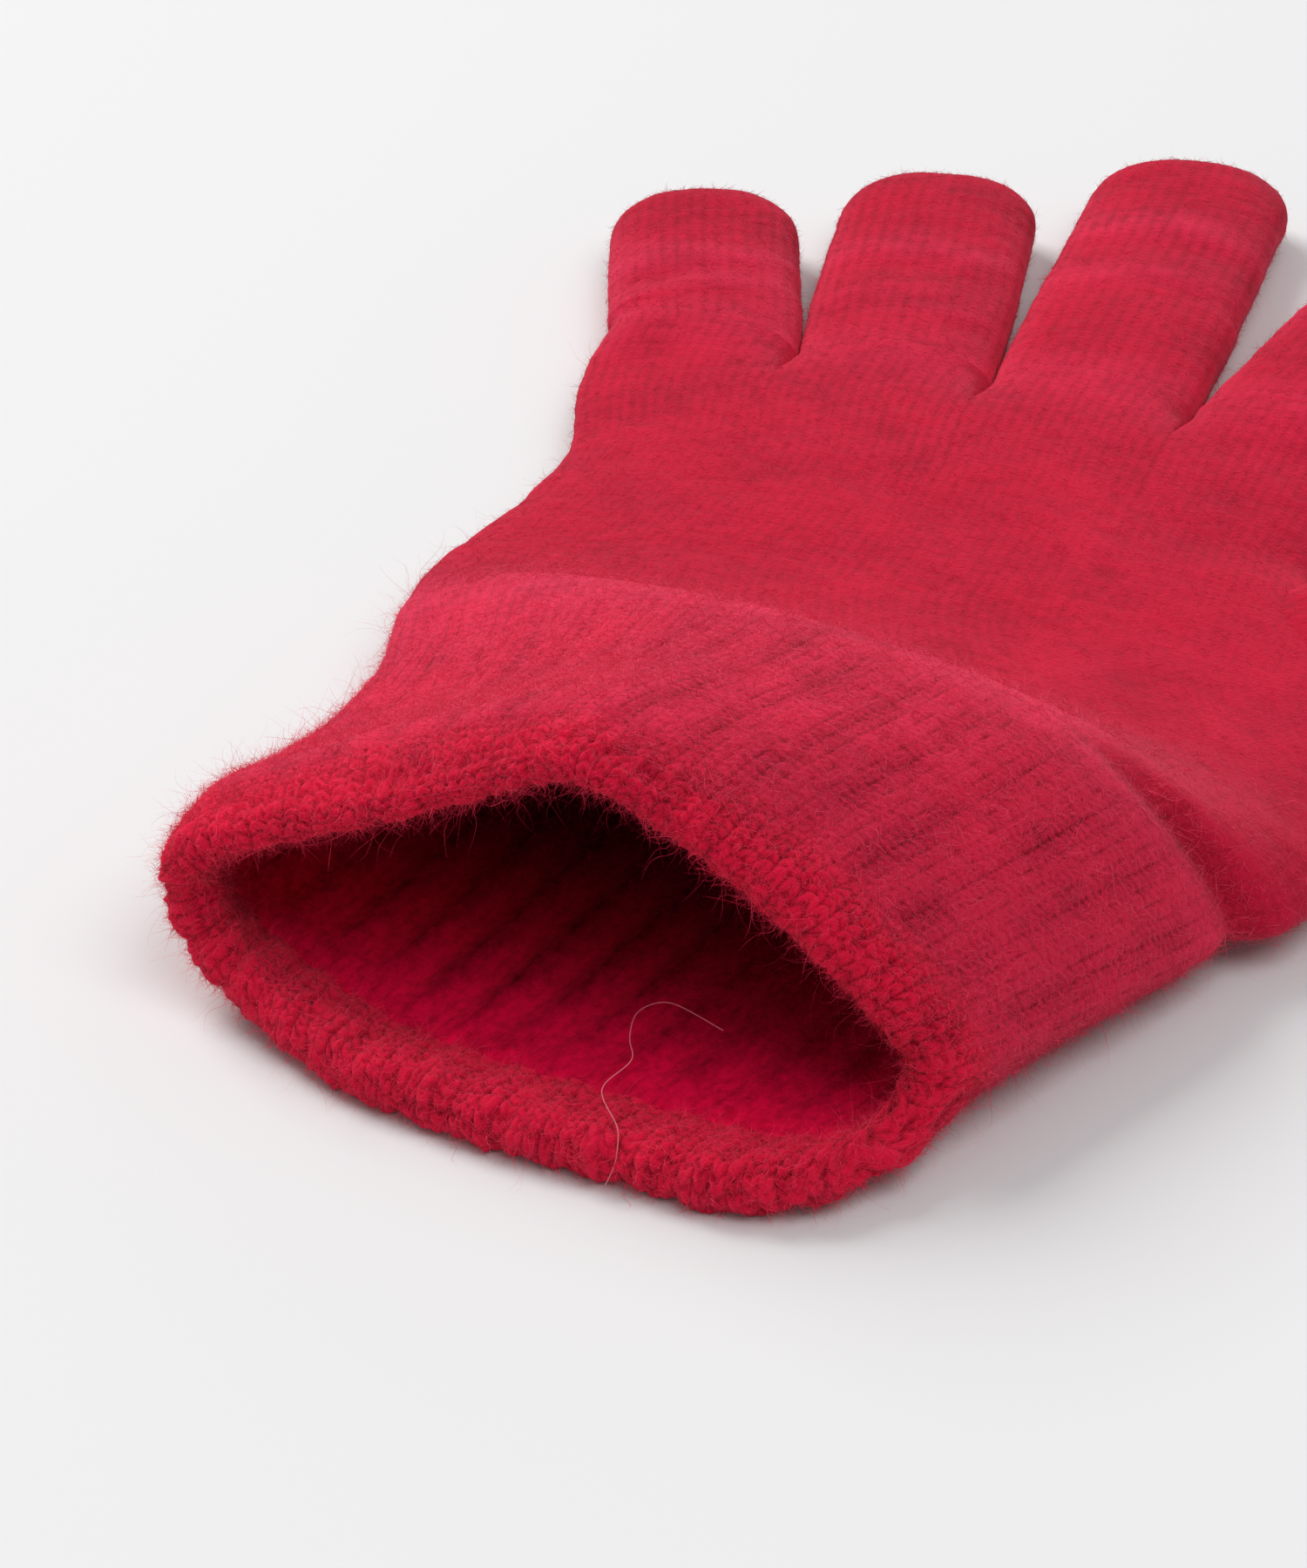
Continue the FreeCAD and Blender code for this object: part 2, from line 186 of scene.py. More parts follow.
def hand_half(q_rows, count, upper):
    """Upper or lower face of the cuff and palm: rows of points along the hand."""
    rows = glide(HAND[:, 0], HAND, q_rows)
    out = np.zeros((len(q_rows), count + 1, 3))
    lobe_x, lobe_z = lobes(count, upper)
    lip = UPPER_LIP if upper else LOWER_LIP
    for k, (q, row) in enumerate(zip(q_rows, rows)):
        x, z = section(row, count, upper)
        part = smooth((q - 80.0) / (KNUCKLE - 80.0)) ** 1.6
        x = x + (lobe_x - x) * smooth((q - 62.0) / (KNUCKLE - 62.0))
        z = z + (lobe_z - z) * part
        y = q - row[12] * (x - SKEW_X)
        if q < RIB_END:
            edge = np.interp(x, lip[:, 0], lip[:, 1])
            line = RIB_END - SLANT * (x - SKEW_X)
            y = edge + (line - edge) * (q - RIM) / (RIB_END - RIM)
        out[k] = np.stack([x, y, z], 1)
    return out


def loop_rows(q_rows, count):
    """Closed rings: upper face left to right, then lower face back to the left."""
    top = hand_half(q_rows, count, True)
    low = hand_half(q_rows, count, False)
    return np.concatenate([top, low[:, ::-1][:, 1:-1]], axis=1)


def ring_blur(values, passes):
    for _ in range(passes):
        values = (np.roll(values, 1, 1) + 2 * values + np.roll(values, -1, 1)) / 4
    return values


def normals(grid, closed=True):
    """Outward normals of a grid of rings that run clockwise seen from the fingers."""
    across = np.roll(grid, -1, 1) - np.roll(grid, 1, 1) if closed else np.gradient(grid, axis=1)
    along = np.gradient(grid, axis=0)
    n = np.cross(across, along)
    n /= np.maximum(np.linalg.norm(n, axis=2, keepdims=True), 1e-9)
    return n


def unit(v):
    return v / np.maximum(np.linalg.norm(v, axis=-1, keepdims=True), 1e-9)


# ------------------------------------------------------------------ stitches and felting
def lattice(own, rows, cols, cell_rows, cell_cols, closed=True):
    """Smooth random field from about -1 to 1 over a grid, with cells of the given size in points."""
    high, wide = max(int(rows / cell_rows), 1) + 2, max(int(cols / cell_cols), 2)
    knots = own.uniform(-1, 1, (high, wide + 1))
    if closed:
        knots[:, -1] = knots[:, 0]
    r = np.linspace(0, high - 1.001, rows)
    c = np.linspace(0, wide - 0.001, cols + 1)[:-1] if closed else np.linspace(0, wide - 0.001, cols)
    r0, c0 = r.astype(int), c.astype(int)
    fr, fc = smooth(r - r0)[:, None], smooth(c - c0)[None, :]
    a = knots[np.ix_(r0, c0)] * (1 - fc) + knots[np.ix_(r0, c0 + 1)] * fc
    b = knots[np.ix_(r0 + 1, c0)] * (1 - fc) + knots[np.ix_(r0 + 1, c0 + 1)] * fc
    return a * (1 - fr) + b * fr


def plain(wale, course, notch=0.5):
    """Height from 0 to 1 of plain knitting: each wale is a column of V-shaped pairs of yarn legs."""
    side = np.abs((wale % 1.0) - 0.5) * 2
    leg = 1 - notch + notch * np.abs(np.sin(np.pi * (course + 0.55 * side))) ** 0.6
    middle_line = 1 - 0.22 * np.exp(-((side / 0.2) ** 2))
    return leg * middle_line * np.sqrt(1 - 0.96 * side**4)


def felted(own, wale, course, cell_rows, cell_cols, wander=0.15, wear=0.22, notch=0.5):
    """Plain knitting whose stitches wander and are partly closed over by brushing."""
    rows, cols = np.broadcast(wale, course).shape
    drift = lattice(own, rows, cols, cell_rows * 2.2, cell_cols * 2.2)
    slip = lattice(own, rows, cols, cell_rows * 2.0, cell_cols * 2.6)
    worn = 1 - wear + wear * lattice(own, rows, cols, cell_rows * 3.5, cell_cols * 3.0)
    clump = 0.5 + 0.5 * lattice(own, rows, cols, cell_rows * 0.9, cell_cols * 0.8)
    stitch = plain(wale + wander * drift, course + 1.6 * wander * slip, notch)
    return worn * stitch + (1 - worn) * clump


def soften(field, passes):
    """Blur a field of closed rings along and across its rows."""
    field = field.copy()
    for _ in range(passes):
        field = ring_blur(field, 1)
        field[1:-1] = (field[:-2] + 2 * field[1:-1] + field[2:]) / 4
    return field


def groove_shade(own, wale):
    """Soft lines from 0 to 1 between wales, clearer in some patches than in others, used as painted shade in
    the grooves.
    """
    from_line = 1 - np.abs((wale + 0.12 * lattice(own, *wale.shape, 40, 20)) % 1.0 - 0.5) * 2
    clear = 0.55 + 0.45 * lattice(own, *wale.shape, 44, 30)
    return clear * np.exp(-((from_line / 0.42) ** 2))


def ribs(wale, wide=4.0, valley=0.95):
    """Rounded ribs at 1 with narrow valleys at -1 between them, a few wales apart."""
    from_valley = np.abs((wale / wide) % 1.0 - 0.5) * wide
    return 1 - 2 * np.exp(-((from_valley / valley) ** 2))


def ring_wales(count):
    """Wale number of each point of a ring, the same on both faces."""
    top = np.arange(count + 1) * WALES / count
    return np.concatenate([top, top[::-1][1:-1]])


# ------------------------------------------------------------------ meshes
def sheet_mesh(name, grid, closed, stitch_shade, haze=None):
    """Quad mesh from rows of points, with the stitch height kept as an attribute for the yarn's colour,
    painting shade into its pits.
    """
    rows, cols = grid.shape[:2]
    points = place(grid.reshape(-1, 3)).astype(np.float32)
    i = np.arange(rows - 1)[:, None]
    last = cols if closed else cols - 1
    j = np.arange(last)[None, :]
    jn = (j + 1) % cols
    corners = [i * cols + j, i * cols + jn, (i + 1) * cols + jn, (i + 1) * cols + j]
    quads = np.stack(corners, -1).reshape(-1, 4)
    return solid_mesh(name, points, quads, stitch=stitch_shade, haze=haze)


def solid_mesh(name, points, quads, **fields):
    """Mesh of quads that carries one number per point for each named field."""
    mesh = bpy.data.meshes.new(name)
    mesh.vertices.add(len(points))
    mesh.vertices.foreach_set("co", np.ascontiguousarray(points, np.float32).ravel())
    mesh.loops.add(quads.size)
    mesh.loops.foreach_set("vertex_index", np.ascontiguousarray(quads, np.int32).ravel())
    mesh.polygons.add(len(quads))
    mesh.polygons.foreach_set("loop_start", np.arange(0, quads.size, 4, dtype=np.int32))
    mesh.update(calc_edges=True)
    mesh.polygons.foreach_set("use_smooth", np.ones(len(quads), bool))
    for field, values in fields.items():
        if values is not None:
            data = mesh.attributes.new(field, "FLOAT", "POINT").data
            data.foreach_set("value", np.ascontiguousarray(values, np.float32).ravel())
    mesh.validate()
    thing = bpy.data.objects.new(name, mesh)
    bpy.context.scene.collection.objects.link(thing)
    return thing


# ------------------------------------------------------------------ wool
def wool(name, body, pit_shade, hazed=None, sheen_weight=0.24, fibre_share=0.4, mottle=(0.92, 1.07)):
    """Brushed wool: painted shade in the stitch pits, fine fibre bump, uneven dye and a soft sheen, with an
    optional lighter pink for fuzz and painted sheen.
    """
    material = bpy.data.materials.new(name)
    material.use_nodes = True
    nodes, links = material.node_tree.nodes, material.node_tree.links
    shader = nodes["Principled BSDF"]
    shader.inputs["Roughness"].default_value = 0.95
    shader.inputs["Specular IOR Level"].default_value = 0.06
    shader.inputs["Sheen Weight"].default_value = sheen_weight
    shader.inputs["Sheen Roughness"].default_value = 0.5
    shader.inputs["Sheen Tint"].default_value = (*PINK, 1)
    place_at = nodes.new("ShaderNodeTexCoord")
    stitch = nodes.new("ShaderNodeAttribute")
    stitch.attribute_name = "stitch"
    cloud = nodes.new("ShaderNodeTexNoise")
    cloud.inputs["Scale"].default_value = 90.0
    cloud.inputs["Detail"].default_value = 6.0
    fibre = nodes.new("ShaderNodeTexNoise")
    fibre.inputs["Scale"].default_value = 2400.0
    fibre.inputs["Detail"].default_value = 3.0
    fibre.inputs["Distortion"].default_value = 0.6
    links.new(place_at.outputs["Object"], cloud.inputs["Vector"])
    links.new(place_at.outputs["Object"], fibre.inputs["Vector"])
    mixed = nodes.new("ShaderNodeMath")
    mixed.operation = "MULTIPLY_ADD"
    mixed.inputs[1].default_value = fibre_share
    links.new(fibre.outputs["Fac"], mixed.inputs[0])
    links.new(stitch.outputs["Fac"], mixed.inputs[2])
    centred = nodes.new("ShaderNodeMath")
    centred.operation = "SUBTRACT"
    centred.inputs[1].default_value = fibre_share / 2
    links.new(mixed.outputs[0], centred.inputs[0])
    # painted shade: the pit colour darkens the low parts of the stitch attribute, where shade falls in the
    # knitting
    pit_shade_ramp = nodes.new("ShaderNodeValToRGB")
    pit_shade_ramp.color_ramp.elements[0].color = (*pit_shade, 1)
    pit_shade_ramp.color_ramp.elements[0].position = 0.02
    pit_shade_ramp.color_ramp.elements[1].color = (*body, 1)
    pit_shade_ramp.color_ramp.elements[1].position = 0.72
    links.new(centred.outputs[0], pit_shade_ramp.inputs["Fac"])
    colour = pit_shade_ramp.outputs["Color"]
    # painted sheen: where this attribute is high the yarn turns a lighter pink, for the fuzz veil and its
    # sheen
    if hazed is not None:
        fuzz_and_sheen_paint = nodes.new("ShaderNodeAttribute")
        fuzz_and_sheen_paint.attribute_name = "haze"
        lighter = nodes.new("ShaderNodeValToRGB")
        lighter.color_ramp.elements[0].color = (*pit_shade, 1)
        lighter.color_ramp.elements[0].position = 0.02
        lighter.color_ramp.elements[1].color = (*hazed, 1)
        lighter.color_ramp.elements[1].position = 0.72
        links.new(centred.outputs[0], lighter.inputs["Fac"])
        blend = nodes.new("ShaderNodeMix")
        blend.data_type = "RGBA"
        links.new(fuzz_and_sheen_paint.outputs["Fac"], blend.inputs[0])
        links.new(colour, blend.inputs[6])
        links.new(lighter.outputs["Color"], blend.inputs[7])
        colour = blend.outputs[2]
    value = nodes.new("ShaderNodeMapRange")
    value.inputs["From Min"].default_value = 0.3
    value.inputs["From Max"].default_value = 0.7
    value.inputs["To Min"].default_value = mottle[0]
    value.inputs["To Max"].default_value = mottle[1]
    links.new(cloud.outputs["Fac"], value.inputs["Value"])
    dye = nodes.new("ShaderNodeHueSaturation")
    links.new(value.outputs["Result"], dye.inputs["Value"])
    links.new(colour, dye.inputs["Color"])
    links.new(dye.outputs["Color"], shader.inputs["Base Color"])
    bump = nodes.new("ShaderNodeBump")
    bump.inputs["Strength"].default_value = 0.6
    bump.inputs["Distance"].default_value = 0.0003
    links.new(fibre.outputs["Fac"], bump.inputs["Height"])
    links.new(bump.outputs["Normal"], shader.inputs["Normal"])
    return material


PINK = (1.0, 0.36, 0.48)
# lighter pink for the fuzz veil and the painted sheen
FUZZ_AND_SHEEN_PINK = (0.78, 0.030, 0.088)
WOOL = wool("brushed_wool", (0.53, 0.003, 0.028), (0.17, 0.000, 0.004), hazed=FUZZ_AND_SHEEN_PINK)
WELT_WOOL = wool(
    "welt_wool", (0.72, 0.008, 0.046), (0.15, 0.000, 0.005), hazed=FUZZ_AND_SHEEN_PINK, sheen_weight=0.2, fibre_share=0.6
)
# copy of the wool for the inside: a lighter body as painted light near the mouth, near-black pits as painted
# shade deep inside
INSIDE_LIT_AND_SHADED_WOOL = wool(
    "inside_wool_painted_light_and_shade", (0.93, 0.002, 0.062), (0.06, 0.000, 0.002), sheen_weight=0.03, fibre_share=0.3
)
NAP = wool("nap", (0.58, 0.010, 0.048), (0.42, 0.003, 0.026), sheen_weight=0.4)
CUFF_NAP = wool("cuff_nap", (0.86, 0.055, 0.125), (0.62, 0.016, 0.060), sheen_weight=0.6)
INSIDE_NAP = wool("inside_nap", (0.84, 0.004, 0.050), (0.40, 0.000, 0.012), sheen_weight=0.1)
WELT_NAP = wool("welt_nap", (0.92, 0.042, 0.105), (0.58, 0.006, 0.036), sheen_weight=0.4)


def dress(thing, material):
    thing.data.materials.append(material)
    return thing


# ------------------------------------------------------------------ cuff and palm
row_step = 0.25
cuff_rows = np.linspace(RIM, BAND_END, int((BAND_END - RIM) / (row_step * 0.88)) + 2)
palm_rows = np.linspace(BAND_END, KNUCKLE, int((KNUCKLE - BAND_END) / row_step) + 1)[1:]
all_rows = np.concatenate([cuff_rows, palm_rows])
outer = loop_rows(all_rows, SIDE)
outward = normals(outer)
flip = -1.0 if outward[len(cuff_rows) // 2, SIDE // 2, 2] < 0 else 1.0
outward = unit(ring_blur(outward * flip, 6))

# wales follow the tube round the arch of the cuff and run straight along the palm
column_wale = ring_wales(SIDE)[None, :]
body_right = np.interp(all_rows, [BAND_END, 62.0, KNUCKLE], [66.0, 59.0, 60.9])[:, None]
body_left = outer[:, 0, 0][:, None]
straight_wale = (outer[..., 0] - body_left) / (body_right - body_left) * WALES
flatness = smooth((all_rows - 8.0) / 26.0)[:, None]
wales = column_wale * (1 - flatness) + straight_wale * flatness
course = (all_rows / COURSE)[:, None]
point_rows, point_cols = COURSE / row_step, FINE
stitch = felted(rng, wales, course, point_rows, point_cols)
rib_share = 1 - smooth((all_rows - (RIB_END - 6)) / 14)[:, None]
brushed = smooth((all_rows - (RIB_END - 4)) / 16)[:, None]
stitch = stitch * (1 - brushed) + soften(stitch, 2) * brushed
rib = ribs(wales + 0.25 * lattice(rng, len(all_rows), 2 * SIDE, 50, 40))
rib_depth = 0.65 + 0.35 * lattice(rng, len(all_rows), 2 * SIDE, 40, 24)
at_web = smooth((KNUCKLE - all_rows) / 5)[:, None]
web_near = np.ones(2 * SIDE)
quarter = SIDE // 4
for k in range(0, SIDE + 1, quarter):
    for spot in {k % (2 * SIDE), (2 * SIDE - k) % (2 * SIDE)}:
        gap = np.abs(np.arange(2 * SIDE) - spot)
        gap = np.minimum(gap, 2 * SIDE - gap)
        web_near = np.minimum(web_near, smooth(gap / (1.6 * FINE)))
web_factor = at_web + (1 - at_web) * web_near[None, :]
loose = lattice(rng, len(all_rows), 2 * SIDE, 26, 26) + 0.5 * lattice(rng, len(all_rows), 2 * SIDE, 9, 9)
stitch_depth = 0.20 + 0.12 * rib_share
lift = stitch_depth * (stitch - 0.5) * web_factor
lift = lift + 0.15 * rib_share * rib * rib_depth + 0.12 * loose * web_factor
# a soft crease where the cuff meets the swelling side of the thumb, dipped into the surface and darkened with
# painted shade
at_side = smooth((outer[..., 0] - 46) / 14)
crease = at_side * np.exp(-(((all_rows[:, None] + 3.5) / 2.4) ** 2))
lift = lift - 1.3 * crease
skin = outer + outward * lift[..., None]
skin[..., 2] = np.maximum(skin[..., 2], 0.02)
purl_dots = 0.35 + 0.65 * np.abs(np.sin(np.pi * course)) ** 2
rib_shade = 0.26 * rib_share * (rib - 1) * rib_depth * purl_dots
from_side = 1 - 0.75 * smooth((outer[..., 0] - 22) / 26) * (1 - smooth((all_rows[:, None] - 44) / 20))
palm_pit_and_groove_shade = 0.13 + 0.74 * stitch - 0.15 * groove_shade(rng, wales) * from_side
# painted shade: the pits of the stitches, the lines between wales, the rib valleys and the crease are
# darkened; loose adds uneven tone
shade_and_tone = (0.06 + 0.92 * stitch) * (1 - brushed) + palm_pit_and_groove_shade * brushed
shade_and_tone = np.clip(shade_and_tone + rib_shade + 0.05 * loose - 0.30 * crease, 0, 1)
# lighter pink for the brushed fuzz of the cuff, raised into a painted sheen highlight along the crest and at
# the knuckles, less in the crease and past it on the thumb side
crest_haze = 0.52 + 0.36 * np.exp(-(((all_rows - 1) / 11) ** 2))
fade_to_palm = 1 - smooth((all_rows[:, None] + 3 + 5 * lattice(rng, *shade_and_tone.shape, 40, 30)) / 24)
haze = crest_haze[:, None] * fade_to_palm * (1 - 0.8 * crease)
haze = haze * (1 - 0.7 * at_side * smooth((all_rows[:, None] + 3.5) / 3))
at_knuckles = np.exp(-(((all_rows - KNUCKLE + 2) / 9) ** 2))[:, None]
cloudy = 0.5 + 0.5 * lattice(rng, *shade_and_tone.shape, 34, 26)
haze = np.maximum(haze, 0.24 * at_knuckles + 0.10 * cloudy * (1 - fade_to_palm))

n_cuff = len(cuff_rows)
WELT_DEPTH = 6.0
WELT_ROWS = int(WELT_DEPTH / (row_step * 0.88))
n_welt = WELT_ROWS - 1

rib_out = sheet_mesh("cuff_rib_outside", skin[n_welt:n_cuff], True, shade_and_tone[n_welt:n_cuff], haze[n_welt:n_cuff])
dress(rib_out, WOOL)

palm_grid = skin[n_cuff - 1 :]
palm_shade_and_tone = shade_and_tone[n_cuff - 1 :]
palm_haze = haze[n_cuff - 1 :]
top_columns = np.arange(SIDE + 1)
low_columns = np.r_[SIDE : 2 * SIDE, 0]
palm_faces = []
for name, columns in (("palm_upper_face", top_columns), ("palm_lower_face", low_columns)):
    face = sheet_mesh(name, palm_grid[:, columns], False, palm_shade_and_tone[:, columns], palm_haze[:, columns])
    palm_faces.append(dress(face, WOOL))
palm_top, palm_low = palm_faces

# welt: a thick soft roll where the fabric turns round the mouth's edge
ROLL_BACK = 6.0
ROLL_THIN = 1.5
welt_side = SIDE * 2
across_mouth = np.linspace(0, 1, welt_side + 1)
roll_low = 4.9 + 0 * across_mouth[1:-1]
roll_top = np.interp(across_mouth, [0, 0.08, 0.2, 0.5, 0.62, 0.8, 1], [6.2, 4.3, 3.0, 2.9, 3.8, 4.8, 5.2])
roll = ring_blur(np.r_[roll_top, roll_low][None, :], 200)[0][:, None]
welt_rows = np.linspace(RIM, cuff_rows[n_welt], int(WELT_DEPTH / 0.2))
welt_mid = loop_rows(welt_rows, welt_side)
welt_normal = unit(ring_blur(normals(welt_mid) * flip, 40))
forward = unit(welt_mid[0] - welt_mid[3])
turn = np.linspace(0, np.pi, 34)[1:-1]
bend = []
for angle in turn:
    centre = welt_mid[0] - welt_normal[0] * roll / 2
    bend.append(centre + (welt_normal[0] * math.cos(angle) + forward * math.sin(angle)) * roll / 2)
bend = np.array(bend)
inner_q = np.linspace(RIM, RIM + ROLL_BACK, 28)
inner_mid = loop_rows(inner_q, welt_side)
inner_normal = unit(ring_blur(normals(inner_mid) * flip, 40))
thinning = ROLL_THIN * smooth((inner_q - RIM) / ROLL_BACK)[:, None, None]
inner = inner_mid - inner_normal * (roll[None] - thinning)
welt_grid = np.concatenate([welt_mid[::-1], bend, inner], axis=0)
welt_out = normals(welt_grid)
if (welt_out[2] * welt_normal[-3]).sum() < 0:
    welt_out = -welt_out
welt_out = unit(ring_blur(welt_out, 6))
step = np.linalg.norm(np.diff(welt_grid, axis=0), axis=2).mean(axis=1)
along = np.concatenate([[0.0], np.cumsum(step)])
rows, cols = welt_grid.shape[:2]
welt_wale = ring_wales(welt_side)[None, :]
welt_course = (cuff_rows[n_welt] / COURSE - along / (1.25 * COURSE))[:, None]
welt_stitch = felted(rng, 0.9 * welt_wale, welt_course, 7, 9, wander=0.35, wear=0.25, notch=0.75)
lumps = lattice(rng, rows, cols, 9, 8) + 0.7 * lattice(rng, rows, cols, 5, 4)
sag = lattice(rng, rows, cols, 30, 60)
mouth_share = smooth(along / 3.5)[:, None] * (1 - 0.6 * smooth((along - along[-1] + 3.0) / 3.0)[:, None])
lower_side = np.r_[np.zeros(welt_side + 1), np.ones(welt_side - 1)][None, :]
welt_rib = ribs(welt_wale + 0.4 * lattice(rng, rows, cols, 60, 90)) * (0.08 + 0.18 * lower_side)
welt_lift = (0.22 + 0.40 * mouth_share) * (welt_stitch - 0.5) + welt_rib
welt_lift = welt_lift + mouth_share * (0.28 * lumps + 0.34 * sag)
welt_skin = welt_grid + welt_out * welt_lift[..., None]
welt_skin[0] = np.repeat(skin[n_welt], 2, axis=0)
welt_skin[0, 1::2] = (welt_skin[0, 1::2] + np.roll(welt_skin[0], -1, 0)[1::2]) / 2
welt_skin[..., 2] = np.maximum(welt_skin[..., 2], 0.02)
# painted shade in the stitch pits and a painted highlight on the tops of the lumps near the mouth
welt_light_and_shade = np.clip(0.02 + 0.90 * welt_stitch + 0.15 * lumps * mouth_share, 0, 1)
welt_haze = crest_haze[n_welt] * (1 - smooth(along[:, None] / 5.0 + 0.3 * sag)) + 0 * welt_light_and_shade
welt = sheet_mesh("cuff_welt_knit", welt_skin, True, welt_light_and_shade, welt_haze)
dress(welt, WELT_WOOL)

# inside of the cuff, as far as the mouth shows it
inside_q = np.linspace(RIM + ROLL_BACK, 30.0, int(80 / 0.5))
inside_mid = loop_rows(inside_q, SIDE)
inside_normal = unit(ring_blur(normals(inside_mid) * flip, 16))
rows, cols = inside_mid.shape[:2]
inside_wale = ring_wales(SIDE)[None, :] + 0.9 * lattice(rng, rows, cols, 50, 60)
inside_stitch = felted(rng, inside_wale, (inside_q / COURSE)[:, None], 2.4, FINE)
deeper = smooth((inside_q - (RIM + ROLL_BACK)) / 8.0)[:, None]
fade = 1 - smooth((inside_q - RIB_END) / 10)[:, None]
inside_rib = ribs(inside_wale) * (0.6 + 0.4 * lattice(rng, rows, cols, 40, 40))
inward = roll[::2].T - ROLL_THIN - 0.6 * deeper - (0.10 + 0.30 * deeper) * fade * inside_rib
inward = inward - 0.22 * (inside_stitch - 0.5) * deeper
inside_grid = inside_mid - inside_normal * inward[..., None]
inside_grid[0] = welt_skin[-1][::2]
depth_shade = 1 - 0.85 * smooth((inside_q - RIM - ROLL_BACK - 4.0) / 34.0)[:, None]
specks = lattice(rng, rows, cols, 1.6, 2.0)
# painted light and shade on the rib crests and valleys and in the stitch pits; specks add uneven tone
inside_shade_and_tone = 0.34 + 0.26 * inside_stitch + 0.20 * deeper * inside_rib + 0.14 * specks
inside_shade_and_tone = np.clip(inside_shade_and_tone, 0, 1) * depth_shade
inside = sheet_mesh("cuff_rib_inside", inside_grid, True, inside_shade_and_tone)
dress(inside, INSIDE_LIT_AND_SHADED_WOOL)

# ------------------------------------------------------------------ digits
DIGITS = {
    # slot among the four fingers, turned out, length, half width, soft creases (distance, depth)
    "little": (0, -19.5, 45.5, 12.5, ((4.0, 0.3), (12.5, 0.5))),
    "ring": (1, -10.5, 60.5, 13.2, ((8.0, 0.3), (23.5, 0.5))),
    "middle": (2, -3.5, 75.5, 13.4, ((25.5, 0.4), (41.0, 0.5))),
    "index": (3, 9.0, 68.0, 13.3, ((24.0, 0.4), (44.0, 0.5))),
}
THUMB_X, THUMB_Y, THUMB_TURN, THUMB_LENGTH, THUMB_HALF = 70.6, 50.4, 36.0, 56.0, 14.6
MIDDLE_Z = 4.9


def digit_rows(length, width):
    """Distances along a digit, closer together round the tip."""
    straight = np.arange(0.0, length - width * 0.9, row_step)
    straight = np.linspace(0.0, length - width * 0.9, len(straight) + 1)
    angle = np.linspace(0, np.pi / 2, int(width * 1.25 / row_step) + 2)[1:]
    tip = length - width * 0.9 + width * 0.9 * np.sin(angle)
    tip[-1] = length - 0.02
    return np.concatenate([straight, tip])


def digit_profile(s, length, width, first_width):
    """Half width and the share of full height at a distance along a digit."""
    w = first_width + (width - first_width) * smooth(s / 24.0)
    start = length - width * 0.98
    t = np.clip((s - start) / (length - start), 0, 1)
    shrink = (1 - t**2.5) ** (1 / 2.0)
    flat = np.clip((s - (length - width * 0.75)) / (width * 0.75), 0, 1)
    tall = (1 - flat**2.6) ** (1 / 2.3)
    return w * shrink, tall


